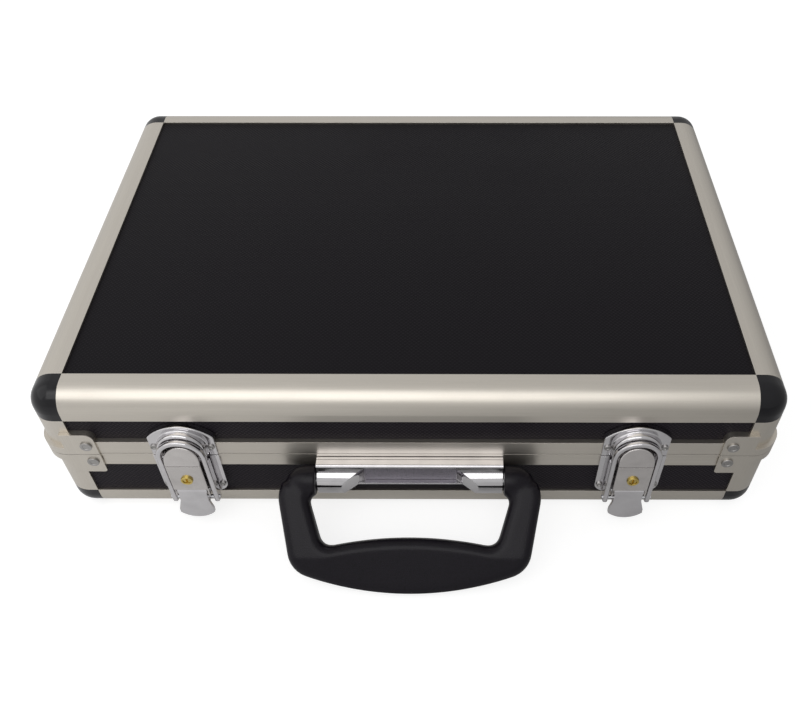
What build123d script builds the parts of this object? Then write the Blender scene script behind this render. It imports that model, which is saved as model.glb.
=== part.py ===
from build123d import *
import os
from math import acos, asin, atan2, cos, hypot, radians, sin, sqrt

os.makedirs("parts", exist_ok=True)

# A small aluminium-framed flight case, closed, lying on its base with its handle folded down.
# Millimetres. X runs to the right, Y runs from the front to the rear, Z runs up.
# The origin is the centre of the whole footprint, on the surface that the case lies on.

# Case body
case_width = 340.0
case_depth = 236.0
case_height = 84.0
parting_gap = 0.3

# Walls: a panel sits in the channels of the extrusions, one skin behind their outer faces
skin = 1.2
panel_thickness = 4.0
channel_clearance = 0.1
inner_flange = 1.2
panel_end_gap = 0.2

# Quarter-round edge extrusion
lip = 15.2
edge_radius = 11.0
channel_floor = 9.5
cell_web = 1.2

# Closing rails on both sides of the parting
rail_height = 8.4
rail_proud = 1.2
rail_web = 1.4
groove_height = 1.7
groove_depth = 0.35
tongue_height = 2.6
tongue_thickness = 1.6
tongue_clearance = 0.4
tongue_end_gap = 1.0

# Riveted corner pieces of the closing rails
corner_plate = 0.8
corner_band = 4.7
arm_reach = 26.0
arm_height = {"base": 13.3, "lid": 14.2}
arm_far_radius = {"base": 1.6, "lid": 3.6}
arm_rivet_reach = 21.5
arm_rivet_height = {"base": 5.2, "lid": 6.4}

# Rivets
rivet_head_radius = 2.75
rivet_head_height = 0.9
rivet_shank_radius = 1.5
small_head_radius = 1.6
small_head_height = 0.8
small_shank_radius = 1.0
rivet_clearance = 0.05
head_round = 0.35
dish_share = 0.6
dish_depth = 0.3

# Lining
lining_thickness = 2.0
lining_gap = 0.1
lining_reveal = 2.5

# Hinges at the rear
hinge_inset = 85.0
hinge_width = 40.0
hinge_leaf = 1.2
hinge_edge_gap = 4.0
hinge_leaf_round = 3.0
hinge_axis_out = 4.4
knuckle_radius = 2.4
hinge_pin_radius = 1.2
lid_knuckle_length = 15.4
knuckle_gap = 0.3
hinge_rivet_height = 13.5
hinge_rivet_spacing = 28.0

# Latches: the plates
latch_inset = 66.0
latch_half_width = 15.2
latch_plate = 1.0
latch_rivet_x = 13.2
keeper_shoulder = 12.8
keeper_top = 20.2
keeper_edge_gap = 1.8
keeper_corner_round = 1.5
keeper_rivet_height = 6.6
latch_edge_gap = 3.3
latch_plate_round = 6.0
latch_rivet_inset = 6.0

# Latches: the raised ridge on the keeper
ridge_half_width = 11.2
ridge_band = 2.6
ridge_top = 18.0
ridge_foot = 2.6
ridge_height = 3.4
ridge_round = 1.2

# Latches: the lock cover
cover_half_width = 8.2
cover_wall = 0.8
cover_out = 9.5
cover_top = 11.3
cover_crease = 0.8
cover_slope = 0.25
cover_front_drop = 17.5
cover_side_drop = 23.2
cover_ear = 0.9
cover_lid_gap = 0.3
cover_round = 0.6

# Latches: the lever, its pins and the claw
lever_pin_out = 7.0
lever_pin_drop = 20.3
claw_pin_out = 6.5
claw_pin_drop = 27.2
latch_pin_radius = 1.0
hub_radius = 2.2
hub_side_gap = 0.35
link_half_width = 6.7
lever_pin_overhang = 0.3
claw_pin_overhang = 0.6
tab_thickness = 1.5
tab_tilt = 6.0
tab_half_width = 8.3
tab_neck_length = 6.0
tab_wide_length = 12.0
tab_round_start = 14.5
tab_length = 18.0
claw_half_width = 11.3
claw_band = 2.4
claw_top = 16.4
claw_out = 8.3
claw_arch_depth = 2.3
claw_leg_depth = 5.3
claw_leg_top_drop = 0.8
claw_leg_end = 3.0
claw_leg_round = 1.6
claw_round = 0.7

# Latches: the key cylinder
key_radius = 2.75
key_drop = 9.4
key_proud = 0.5
key_foot_gap = 0.3
key_slot_width = 0.9
key_slot_length = 3.4
key_slot_depth = 1.2

# Handle bracket
bracket_width = 87.0
bracket_top_drop = 2.2
bracket_bottom_drop = 19.3
bracket_shelf_out = 6.9
bracket_out = 10.8
bracket_shoulder_drop = 7.3
bracket_bulge_drop = 13.5
bracket_foot_inset = 0.8
bracket_foot_round = 0.8
bracket_top_round = 1.2
recess_back = 2.2
recess_ceiling = 1.4
recess_pin_wall = 2.0
recess_arch_spread = 11.5
recess_side_taper = 9.5
recess_ledge_out = 4.8
recess_ledge_height = 0.8

# Handle
handle_pivot_out = 8.0
handle_pivot_drop = 11.8
handle_boss_radius = 7.2
handle_dome_length = 11.5
handle_half_thickness = 6.0
handle_reach = 52.3
handle_side_gap = 0.4
handle_arm_width = 17.5
handle_top_round = 15.0
handle_corner_inset = 6.0
handle_corner_reach = 41.6
handle_corner_round = 13.0
handle_arm_step = 3.1
handle_arm_straight = 9.5
handle_arm_round = 3.0
window_taper = 6.5
window_low_reach = 31.1
window_reach = 26.5
window_corner_round = 5.0
handle_edge_round = 4.4
handle_pin_radius = 1.75
handle_pin_in_bracket = 10.0
handle_pin_in_arm = 8.0
pin_end_gap = 0.3

# Fits
running_clearance = 0.05
fixed_clearance = 0.02

# Points nearer than this are taken for the same corner
same_place = 0.2

# Worked-out sizes
channel_width = panel_thickness + channel_clearance
channel_back = skin + channel_width
wall_depth = channel_back + inner_flange
half_gap = parting_gap / 2
lid_height = lip + keeper_edge_gap + keeper_top
parting_height = case_height - lid_height
hinge_leaf_height = lid_height - lip - hinge_edge_gap
latch_plate_drop = parting_height - lip - latch_edge_gap
latch_rivet_drop = latch_plate_drop - latch_rivet_inset
panel_end = channel_floor + panel_end_gap
pivot_height = parting_height - handle_pivot_drop
grip_reach = handle_reach - handle_edge_round
grip_thickness = handle_half_thickness - handle_edge_round
grip_angle = atan2(grip_thickness, grip_reach)
handle_tilt = asin((pivot_height - handle_edge_round) / hypot(grip_reach, grip_thickness)) - grip_angle
grip_out = grip_reach * cos(handle_tilt) + grip_thickness * sin(handle_tilt)
front_reach = handle_pivot_out + grip_out + handle_edge_round
rear_reach = hinge_axis_out + knuckle_radius
recess_front_half_width = bracket_width / 2 - handle_pin_in_bracket - recess_pin_wall
recess_top_half_width = recess_front_half_width - recess_arch_spread
recess_back_half_width = recess_front_half_width - recess_side_taper
arm_inner = bracket_width / 2 + handle_side_gap
handle_half_width = arm_inner + handle_arm_width
handle_corner_half_width = handle_half_width - handle_corner_inset
handle_arm_half_width = arm_inner + handle_arm_step
window_low_half_width = handle_arm_half_width - window_taper
case_centre_y = (front_reach - rear_reach) / 2
front_y = case_centre_y - case_depth / 2
rear_y = case_centre_y + case_depth / 2
left_x = -case_width / 2
right_x = case_width / 2
tongue_room = tongue_height + tongue_clearance
web_top = {"base": half_gap + rail_web, "lid": half_gap + tongue_room + rail_web}
half_height = {"base": parting_height, "lid": lid_height}

# Each half is drawn above the parting, and the base's pieces are then turned over.
parting_plane = Plane.XY.offset(parting_height)
mid_depth = Plane.XZ.offset(-case_centre_y)
front_left = Plane((left_x, front_y, parting_height))
corner_diagonal = Plane(origin=(left_x, front_y, 0), z_dir=(1, -1, 0))
low_corner = (Align.MIN, Align.MIN, Align.MIN)
high_corner = (Align.MIN, Align.MIN, Align.MAX)

# Each side: a point on its outer face, its outward direction, the direction along it and its length
sides = {
    "front": ((0, front_y, parting_height), (0, -1, 0), (1, 0, 0), case_width),
    "rear": ((0, rear_y, parting_height), (0, 1, 0), (-1, 0, 0), case_width),
    "left": ((left_x, case_centre_y, parting_height), (-1, 0, 0), (0, -1, 0), case_depth),
    "right": ((right_x, case_centre_y, parting_height), (1, 0, 0), (0, 1, 0), case_depth),
}


def face_plane(side, out=0.0):
    """In front of a side's outer face: local x along it, local y up from the parting, normal outward."""
    point, outward, along, length = sides[side]
    return Plane(origin=point, x_dir=along, z_dir=outward).offset(out)


def section_plane(side, height=0.0, up=1):
    """Across a side: local x is the depth inward from its face, local y runs up or down from the height."""
    point, outward, along, length = sides[side]
    inward = -Vector(*outward)
    normal = inward.cross(Vector(0, 0, up))
    return Plane(origin=Vector(*point) + Vector(0, 0, height), x_dir=inward, z_dir=normal)


def front_plane(x, out=0.0):
    """In front of the front face at x: local x is to the right, local y is up from the parting."""
    return Plane(origin=(x, front_y - out, parting_height), x_dir=(1, 0, 0), z_dir=(0, -1, 0))


def profile_plane(x):
    """Across the front at x, facing left: local x is the distance out, local y is up from the parting."""
    return Plane(origin=(x, front_y, parting_height), x_dir=(0, -1, 0), z_dir=(-1, 0, 0))


def finish(piece, name):
    """Label a finished piece and write it."""
    piece.label = name
    export_step(piece, f"parts/{name}.step")


def finish_half(piece, half, name):
    """Finish a piece that was drawn above the parting. The base's pieces are turned over first."""
    with BuildPart() as placed:
        add(piece)
        if half == "base":
            mirror(about=parting_plane, mode=Mode.REPLACE)
    finish(placed.part, name)


def four_corners(piece):
    """The front left piece with its mirror images at the other three corners."""
    with BuildPart() as group:
        add(piece)
        mirror(about=Plane.YZ)
        mirror(about=mid_depth)
    return group.part


def edge_bar(section, start, end):
    """A length of edge extrusion. The section's axes run inward from its two outer faces."""
    cell = channel_floor - cell_web
    cell_radius = edge_radius - cell_web
    cell_edge = edge_radius - sqrt(cell_radius**2 - (edge_radius - cell) ** 2)
    cell_middle = edge_radius - cell_radius / sqrt(2)
    arc_middle = edge_radius - edge_radius / sqrt(2)
    with BuildPart() as bar:
        with BuildSketch(section.offset(start)):
            with BuildLine():
                ThreePointArc((edge_radius, 0), (arc_middle, arc_middle), (0, edge_radius))
                Polyline(
                    (0, edge_radius),
                    (0, lip),
                    (skin, lip),
                    (skin, channel_floor),
                    (channel_back, channel_floor),
                    (channel_back, lip),
                    (wall_depth, lip),
                    (wall_depth, wall_depth),
                    (lip, wall_depth),
                    (lip, channel_back),
                    (channel_floor, channel_back),
                    (channel_floor, skin),
                    (lip, skin),
                    (lip, 0),
                    (edge_radius, 0),
                )
            make_face()
            with BuildLine():
                ThreePointArc((cell, cell_edge), (cell_middle, cell_middle), (cell_edge, cell))
                Polyline(
                    (cell_edge, cell),
                    (channel_back, cell),
                    (channel_back, channel_back),
                    (cell, channel_back),
                    (cell, cell_edge),
                )
            make_face(mode=Mode.SUBTRACT)
        extrude(amount=end - start)
    return bar.part


def rivet(head_radius, head_height, shank_radius, shank_length):
    """A rivet with a dished head that stands on the XY plane, and its shank below it."""
    dish_radius = head_radius * dish_share
    with BuildPart() as one:
        with BuildSketch(Plane.XZ):
            with BuildLine():
                Polyline(
                    (0, -shank_length),
                    (shank_radius, -shank_length),
                    (shank_radius, 0),
                    (head_radius, 0),
                    (head_radius, head_height - head_round),
                )
                TangentArc(
                    (head_radius, head_height - head_round),
                    (head_radius - head_round, head_height),
                    tangent=(0, 1),
                )
                Polyline(
                    (head_radius - head_round, head_height),
                    (dish_radius, head_height),
                    (dish_radius - dish_depth, head_height - dish_depth),
                    (0, head_height - dish_depth),
                    (0, -shank_length),
                )
            make_face()
        revolve(axis=Axis.Z)
    return one.part


def arch(half_width, top, foot):
    """A round-topped outline from the foot to the top."""
    spring = top - half_width
    with BuildSketch() as outline:
        with BuildLine():
            Polyline((-half_width, spring), (-half_width, foot), (half_width, foot), (half_width, spring))
            ThreePointArc((half_width, spring), (0, top), (-half_width, spring))
        make_face()
    return outline.sketch


# Places of the small rivets on each side of each half: along the side and away from the parting
latch_xs = {"left": left_x + latch_inset, "right": right_x - latch_inset}
hinge_xs = (left_x + hinge_inset, right_x - hinge_inset)
latch_rivet_xs = [x + dx for x in latch_xs.values() for dx in (-latch_rivet_x, latch_rivet_x)]
hinge_rivet_xs = [x + dx for x in hinge_xs for dx in (-hinge_rivet_spacing / 2, hinge_rivet_spacing / 2)]
small_rivets = {
    ("base", "front"): [(x, latch_rivet_drop) for x in latch_rivet_xs],
    ("lid", "front"): [(x, keeper_rivet_height) for x in latch_rivet_xs],
    ("base", "rear"): [(x, hinge_rivet_height) for x in hinge_rivet_xs],
    ("lid", "rear"): [(x, hinge_rivet_height) for x in hinge_rivet_xs],
}
plate_out = rail_proud + latch_plate
leaf_out = rail_proud + hinge_leaf
small_rivet_out = {"front": plate_out, "rear": leaf_out}

# Large panels: the bottom of the base and the top of the lid
for half, name in (("base", "base_bottom_panel"), ("lid", "lid_top_panel")):
    with BuildPart() as large_panel:
        inner_face = half_height[half] - skin - panel_thickness
        with BuildSketch(Plane((0, case_centre_y, parting_height + inner_face))):
            Rectangle(case_width - 2 * panel_end, case_depth - 2 * panel_end)
        extrude(amount=panel_thickness)
    finish_half(large_panel.part, half, name)

# Side panels, from the rail's web to the edge extrusion's channel
for half in ("base", "lid"):
    for side, (point, outward, along, length) in sides.items():
        low = web_top[half] + panel_end_gap
        high = half_height[half] - panel_end
        with BuildPart() as side_panel:
            with BuildSketch(face_plane(side, -skin - panel_thickness)):
                with Locations((0, (low + high) / 2)):
                    Rectangle(length - 2 * panel_end, high - low)
                if (half, side) in small_rivets:
                    with Locations(*small_rivets[half, side]):
                        Circle(small_shank_radius + rivet_clearance, mode=Mode.SUBTRACT)
            extrude(amount=panel_thickness)
        finish_half(side_panel.part, half, f"{half}_{side}_panel")

# Edge extrusions round the bottom of the base and the top of the lid
for half in ("base", "lid"):
    for side, (point, outward, along, length) in sides.items():
        end = length / 2 - lip
        edge = edge_bar(section_plane(side, half_height[half], up=-1), -end, end)
        finish_half(edge, half, f"{half}_{side}_edge")

# Upright corner posts between the riveted corner pieces and the ball corners
for half in ("base", "lid"):
    post = edge_bar(front_left, corner_band, half_height[half] - lip)
    finish_half(four_corners(post), half, f"{half}_corner_posts")

# Ball corners, slotted for the corners of three panels
for half in ("base", "lid"):
    outer_corner = Vector(left_x, front_y, parting_height + half_height[half])
    with BuildPart() as ball:
        with Locations(outer_corner):
            Box(lip, lip, lip, align=high_corner)
        fillet([edge for edge in ball.edges() if edge.distance_to(outer_corner) < same_place], edge_radius)
        with Locations(outer_corner + Vector(wall_depth, wall_depth, -wall_depth)):
            Box(lip, lip, lip, align=high_corner, mode=Mode.SUBTRACT)
        for axis in range(3):
            slot_start = [channel_floor, channel_floor, channel_floor]
            slot_size = [lip, lip, lip]
            slot_start[axis] = skin
            slot_size[axis] = channel_width
            with Locations(outer_corner + Vector(slot_start[0], slot_start[1], -slot_start[2])):
                Box(*slot_size, align=high_corner, mode=Mode.SUBTRACT)
    finish_half(four_corners(ball.part), half, f"{half}_ball_corners")

# Closing rails. The base rails carry a tongue, except at the rear, where it would foul the opening lid.
tongue_middle = skin + channel_width / 2
for half in ("base", "lid"):
    for side, (point, outward, along, length) in sides.items():
        end = length / 2 - lip
        across = section_plane(side)
        face_points = [(-rail_proud, half_gap), (-rail_proud, rail_height)]
        if half == "base":
            face_points.insert(1, (-rail_proud, groove_height))
            face_points.insert(2, (groove_depth - rail_proud, groove_height + groove_depth))
        arm_rivet_x = length / 2 - arm_rivet_reach
        arm_rivet_y = arm_rivet_height[half]
        with BuildPart() as rail:
            with BuildSketch(across.offset(-end)):
                with BuildLine():
                    Polyline(
                        *face_points,
                        (skin, rail_height),
                        (skin, web_top[half]),
                        (channel_back, web_top[half]),
                        (channel_back, rail_height),
                        (wall_depth, rail_height),
                        (wall_depth, half_gap),
                        close=True,
                    )
                make_face()
            extrude(amount=2 * end)
            if half == "base" and side != "rear":
                tongue_end = end - tongue_end_gap
                with BuildSketch(across.offset(-tongue_end)):
                    with Locations((tongue_middle, half_gap)):
                        tongue_size = (tongue_thickness, tongue_height + parting_gap)
                        Rectangle(*tongue_size, align=(Align.CENTER, Align.MAX))
                extrude(amount=2 * tongue_end)
            if half == "lid" and side != "rear":
                with BuildSketch(across.offset(-end)):
                    with Locations((tongue_middle, half_gap)):
                        tongue_slot = (tongue_thickness + 2 * tongue_clearance, tongue_room)
                        Rectangle(*tongue_slot, align=(Align.CENTER, Align.MIN))
                extrude(amount=2 * end, mode=Mode.SUBTRACT)
            with BuildSketch(face_plane(side, -skin)):
                with Locations((-arm_rivet_x, arm_rivet_y), (arm_rivet_x, arm_rivet_y)):
                    Circle(rivet_shank_radius + rivet_clearance)
                if (half, side) == ("lid", "front"):
                    with Locations(*small_rivets[half, side]):
                        Circle(small_shank_radius + rivet_clearance)
            extrude(amount=skin + rail_proud, mode=Mode.SUBTRACT)
        finish_half(rail.part, half, f"{half}_{side}_rail")

# Riveted corner pieces: a band round the corner and an arm over the end of each rail
corner_proud = rail_proud + corner_plate
band_radius = edge_radius + corner_proud
band_middle = edge_radius - band_radius / sqrt(2)
for half in ("base", "lid"):
    with BuildPart() as arm:
        with BuildSketch(front_plane(left_x, -skin)) as arm_outline:
            with Locations((edge_radius, half_gap)):
                arm_size = (arm_reach - edge_radius, arm_height[half] - half_gap)
                Rectangle(*arm_size, align=(Align.MIN, Align.MIN))
            far_corner = arm_outline.vertices().group_by(Axis.X)[-1].sort_by(Axis.Y)[-1]
            fillet(far_corner, arm_far_radius[half])
            with Locations((arm_rivet_reach, arm_rivet_height[half])):
                Circle(rivet_shank_radius + rivet_clearance, mode=Mode.SUBTRACT)
        extrude(amount=skin + corner_proud)
        with Locations(front_left.origin + Vector(edge_radius, 0, 0)):
            Box(lip - edge_radius, skin, half_height[half], align=low_corner, mode=Mode.SUBTRACT)
        with Locations(front_left.origin + Vector(lip, -rail_proud, 0)):
            Box(arm_reach, rail_proud + skin, rail_height, align=low_corner, mode=Mode.SUBTRACT)
    other_arm = mirror(arm.part, about=corner_diagonal)
    with BuildPart() as rail_corner:
        with BuildSketch(front_left.offset(half_gap)):
            with BuildLine():
                ThreePointArc(
                    (edge_radius, -corner_proud),
                    (band_middle, band_middle),
                    (-corner_proud, edge_radius),
                )
                Polyline(
                    (-corner_proud, edge_radius),
                    (-corner_proud, lip),
                    (wall_depth, lip),
                    (wall_depth, wall_depth),
                    (lip, wall_depth),
                    (lip, -corner_proud),
                    (edge_radius, -corner_proud),
                )
            make_face()
        extrude(amount=corner_band - half_gap)
        for slot_start, slot_size in (
            ((channel_floor, skin), (lip, channel_width)),
            ((skin, channel_floor), (channel_width, lip)),
        ):
            with Locations(front_left.origin + Vector(*slot_start, web_top[half])):
                Box(*slot_size, corner_band, align=low_corner, mode=Mode.SUBTRACT)
        add(arm.part)
        add(other_arm)
    finish_half(four_corners(rail_corner.part), half, f"{half}_rail_corners")

# Rivets of the corner pieces, and the small rivets of the latches and hinges
for half in ("base", "lid"):
    corner_rivet = rivet(rivet_head_radius, rivet_head_height, rivet_shank_radius, corner_proud + skin)
    with BuildPart() as corner_rivets:
        for side, (point, outward, along, length) in sides.items():
            rivet_xs = (arm_rivet_reach - length / 2, length / 2 - arm_rivet_reach)
            with Locations(face_plane(side, corner_proud)):
                with Locations(*[(x, arm_rivet_height[half], 0) for x in rivet_xs]):
                    add(corner_rivet)
    finish_half(corner_rivets.part, half, f"{half}_rivets")
    with BuildPart() as small_group:
        for side, out in small_rivet_out.items():
            shank_length = out + skin + panel_thickness
            small_rivet = rivet(small_head_radius, small_head_height, small_shank_radius, shank_length)
            with Locations(face_plane(side, out)):
                with Locations(*[(x, height, 0) for x, height in small_rivets[half, side]]):
                    add(small_rivet)
    finish_half(small_group.part, half, f"{half}_small_rivets")

# Linings: a thin tray inside each half
lining_inset = 2 * (wall_depth + lining_gap)
lining_size = Vector(case_width - lining_inset, case_depth - lining_inset)
for half in ("base", "lid"):
    lining_height = half_height[half] - wall_depth - lining_gap - lining_reveal
    with BuildPart() as lining:
        with BuildSketch(Plane((0, case_centre_y, parting_height + lining_reveal))):
            Rectangle(lining_size.X, lining_size.Y)
        extrude(amount=lining_height)
        with BuildSketch(Plane((0, case_centre_y, parting_height + lining_reveal))):
            Rectangle(lining_size.X - 2 * lining_thickness, lining_size.Y - 2 * lining_thickness)
        extrude(amount=lining_height - lining_thickness, mode=Mode.SUBTRACT)
    finish_half(lining.part, half, f"{half}_lining")

# Hinges. The lid's knuckle turns between the two knuckles of the base leaf.
hinge_axis = Plane(
    origin=(0, rear_y + hinge_axis_out, parting_height),
    x_dir=(0, 1, 0),
    z_dir=(1, 0, 0),
)
middle_end = lid_knuckle_length / 2
side_start = middle_end + knuckle_gap
hinge_end = hinge_width / 2
knuckle_spans = {
    "base": [(-hinge_end, -side_start), (side_start, hinge_end)],
    "lid": [(-middle_end, middle_end)],
}
notch_spans = {
    "base": [(-side_start, side_start)],
    "lid": [(-hinge_end, -middle_end), (middle_end, hinge_end)],
}
pin_clearance = {"base": fixed_clearance, "lid": running_clearance}
for half in ("base", "lid"):
    with BuildPart() as leaves:
        for x in hinge_xs:
            with BuildSketch(face_plane("rear", -skin)) as leaf_outline:
                with Locations((-x, half_gap)):
                    Rectangle(hinge_width, hinge_leaf_height - half_gap, align=(Align.CENTER, Align.MIN))
                fillet(leaf_outline.vertices().group_by(Axis.Y)[-1], hinge_leaf_round)
                with Locations(*small_rivets[half, "rear"]):
                    Circle(small_shank_radius + rivet_clearance, mode=Mode.SUBTRACT)
            extrude(amount=skin + leaf_out)
            with Locations((x, rear_y - skin, parting_height)):
                rail_room = (hinge_width, skin + rail_proud, rail_height)
                Box(*rail_room, align=(Align.CENTER, Align.MIN, Align.MIN), mode=Mode.SUBTRACT)
            for start, end in notch_spans[half]:
                with BuildSketch(hinge_axis.offset(x + start)):
                    Circle(knuckle_radius + knuckle_gap)
                extrude(amount=end - start, mode=Mode.SUBTRACT)
            for start, end in knuckle_spans[half]:
                with BuildSketch(hinge_axis.offset(x + start)):
                    Circle(knuckle_radius)
                extrude(amount=end - start)
                with BuildSketch(hinge_axis.offset(x + start)):
                    Circle(hinge_pin_radius + pin_clearance[half])
                extrude(amount=end - start, mode=Mode.SUBTRACT)
    finish_half(leaves.part, half, f"hinge_{half}_leaves")

with BuildPart() as hinge_pins:
    for x in hinge_xs:
        with BuildSketch(hinge_axis.offset(x - hinge_end)):
            Circle(hinge_pin_radius)
        extrude(amount=hinge_width)
finish(hinge_pins.part, "hinge_pins")

# Latches
claw_inner = claw_half_width - claw_band
cover_inner = cover_half_width - cover_wall
ear_out = lever_pin_out + latch_pin_radius + cover_ear
lever_point = (lever_pin_out, -lever_pin_drop)
claw_point = (claw_pin_out, -claw_pin_drop)
tab_sin = sin(radians(tab_tilt))
tab_cos = cos(radians(tab_tilt))
tab_start = Vector(0, -lever_pin_out - hub_radius * tab_cos, hub_radius * tab_sin - lever_pin_drop)


def cover_block(x, inset):
    """The lock cover's outer form at x, or its hollow where the inset is its wall."""
    half_width = cover_half_width - inset
    top = cover_top - inset
    out = cover_out - inset
    above = cover_top + cover_wall
    with BuildPart() as block:
        with BuildSketch(front_plane(x, plate_out)):
            add(arch(half_width, top, -cover_side_drop - inset))
        extrude(amount=out - plate_out)
        with BuildSketch(profile_plane(x + cover_half_width)):
            Polygon(
                (out, cover_crease),
                (cover_out + cover_wall, cover_crease),
                (cover_out + cover_wall, above),
                (out - cover_slope * (above - cover_crease), above),
            )
        extrude(amount=2 * cover_half_width, mode=Mode.SUBTRACT)
    return block.part


for name, x in latch_xs.items():
    with BuildPart() as keeper:
        with BuildSketch(front_plane(x, -skin)) as keeper_outline:
            with BuildLine():
                Polyline(
                    (-latch_half_width, keeper_shoulder),
                    (-latch_half_width, half_gap),
                    (latch_half_width, half_gap),
                    (latch_half_width, keeper_shoulder),
                )
                ThreePointArc(
                    (latch_half_width, keeper_shoulder),
                    (0, keeper_top),
                    (-latch_half_width, keeper_shoulder),
                )
            make_face()
            fillet(keeper_outline.vertices().group_by(Axis.Y)[-1], keeper_corner_round)
            with Locations((-latch_rivet_x, keeper_rivet_height), (latch_rivet_x, keeper_rivet_height)):
                Circle(small_shank_radius + rivet_clearance, mode=Mode.SUBTRACT)
        extrude(amount=skin + plate_out)
        with Locations((x, front_y + skin, parting_height)):
            rail_room = (2 * latch_half_width, skin + rail_proud, rail_height)
            Box(*rail_room, align=(Align.CENTER, Align.MAX, Align.MIN), mode=Mode.SUBTRACT)
    with BuildPart() as ridge:
        with BuildSketch(front_plane(x, plate_out)):
            add(arch(ridge_half_width, ridge_top, ridge_foot))
            ridge_opening = arch(ridge_half_width - ridge_band, ridge_top - ridge_band, ridge_foot)
            add(ridge_opening, mode=Mode.SUBTRACT)
        extrude(amount=ridge_height)
        fillet(ridge.faces().sort_by(Axis.Y)[0].edges(), ridge_round)
    with BuildPart() as ridged_keeper:
        add(keeper.part)
        add(ridge.part)
    finish(ridged_keeper.part, f"keeper_{name}")

    with BuildPart() as latch_base:
        with BuildSketch(front_plane(x, -skin)) as base_outline:
            with Locations((0, -half_gap)):
                plate_size = (2 * latch_half_width, latch_plate_drop - half_gap)
                Rectangle(*plate_size, align=(Align.CENTER, Align.MAX))
            fillet(base_outline.vertices().group_by(Axis.Y)[0], latch_plate_round)
            with Locations((-latch_rivet_x, -latch_rivet_drop), (latch_rivet_x, -latch_rivet_drop)):
                Circle(small_shank_radius + rivet_clearance, mode=Mode.SUBTRACT)
        extrude(amount=skin + plate_out)
        with Locations((x, front_y + skin, parting_height)):
            rail_room = (2 * latch_half_width, skin + rail_proud, rail_height)
            Box(*rail_room, align=(Align.CENTER, Align.MAX, Align.MAX), mode=Mode.SUBTRACT)
    finish(latch_base.part, f"latch_plate_{name}")

    hollow = cover_block(x, cover_wall)
    with BuildPart() as cover:
        add(cover_block(x, 0.0))
        front_edges = [edge for edge in cover.edges() if edge.center().Y < front_y - plate_out - cover_wall]
        cover_foot = parting_height - cover_side_drop
        fillet([edge for edge in front_edges if edge.center().Z > cover_foot], cover_round)
        add(hollow, mode=Mode.SUBTRACT)
        with Locations((x, front_y - plate_out, parting_height - cover_front_drop)):
            mouth = (2 * cover_inner, cover_out, cover_side_drop)
            Box(*mouth, align=(Align.CENTER, Align.MAX, Align.MAX), mode=Mode.SUBTRACT)
        with Locations((x, front_y - ear_out, parting_height - cover_front_drop)):
            ear_front = (2 * cover_half_width, cover_out, cover_side_drop)
            Box(*ear_front, align=(Align.CENTER, Align.MAX, Align.MAX), mode=Mode.SUBTRACT)
        with Locations((x, front_y - plate_out, parting_height - half_gap)):
            lid_room = (2 * cover_half_width, cover_lid_gap, cover_top + cover_wall)
            Box(*lid_room, align=(Align.CENTER, Align.MAX, Align.MIN), mode=Mode.SUBTRACT)
        with BuildSketch(front_plane(x, plate_out)):
            with Locations((0, -key_drop)):
                Circle(key_radius + running_clearance)
        extrude(amount=cover_out, mode=Mode.SUBTRACT)
        with BuildSketch(profile_plane(x + cover_half_width)):
            with Locations(lever_point):
                Circle(latch_pin_radius + fixed_clearance)
        extrude(amount=2 * cover_half_width, mode=Mode.SUBTRACT)
    finish(cover.part, f"lock_cover_{name}")

    with BuildPart() as key_cylinder:
        key_foot = plate_out + key_foot_gap
        with BuildSketch(front_plane(x, key_foot)):
            with Locations((0, -key_drop)):
                Circle(key_radius)
        extrude(amount=cover_out + key_proud - key_foot)
        with BuildSketch(front_plane(x, cover_out + key_proud)):
            with Locations((0, -key_drop)):
                Rectangle(key_slot_width, key_slot_length)
        extrude(amount=-key_slot_depth, mode=Mode.SUBTRACT)
    finish(key_cylinder.part, f"key_cylinder_{name}")

    lever_pin_end = cover_half_width + lever_pin_overhang
    with BuildPart() as lever_pin:
        with BuildSketch(profile_plane(x + lever_pin_end)):
            with Locations(lever_point):
                Circle(latch_pin_radius)
        extrude(amount=2 * lever_pin_end)
    finish(lever_pin.part, f"lever_pin_{name}")

    claw_pin_end = claw_half_width + claw_pin_overhang
    with BuildPart() as claw_pin:
        with BuildSketch(profile_plane(x + claw_pin_end)):
            with Locations(claw_point):
                Circle(latch_pin_radius)
        extrude(amount=2 * claw_pin_end)
    finish(claw_pin.part, f"claw_pin_{name}")

    hub_end = cover_inner - hub_side_gap
    tab_plane = Plane(
        origin=Vector(x, front_y, parting_height) + tab_start,
        x_dir=(1, 0, 0),
        z_dir=(0, -tab_cos, tab_sin),
    )
    with BuildPart() as lever:
        with BuildSketch(profile_plane(x + link_half_width)):
            with Locations(lever_point, claw_point):
                Circle(hub_radius)
            make_hull()
        extrude(amount=2 * link_half_width)
        for stub_start in (x + hub_end, x - link_half_width):
            with BuildSketch(profile_plane(stub_start)):
                with Locations(lever_point):
                    Circle(hub_radius)
            extrude(amount=hub_end - link_half_width)
        with BuildSketch(tab_plane):
            with BuildLine():
                Polyline(
                    (tab_half_width, -tab_round_start),
                    (tab_half_width, -tab_wide_length),
                    (link_half_width, -tab_neck_length),
                    (link_half_width, 0),
                    (-link_half_width, 0),
                    (-link_half_width, -tab_neck_length),
                    (-tab_half_width, -tab_wide_length),
                    (-tab_half_width, -tab_round_start),
                )
                ThreePointArc(
                    (-tab_half_width, -tab_round_start),
                    (0, -tab_length),
                    (tab_half_width, -tab_round_start),
                )
            make_face()
        extrude(amount=-tab_thickness)
        with BuildSketch(profile_plane(x + hub_end)):
            with Locations(lever_point):
                Circle(latch_pin_radius + running_clearance)
            with Locations(claw_point):
                Circle(latch_pin_radius + fixed_clearance)
        extrude(amount=2 * hub_end, mode=Mode.SUBTRACT)
    finish(lever.part, f"lever_{name}")

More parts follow.
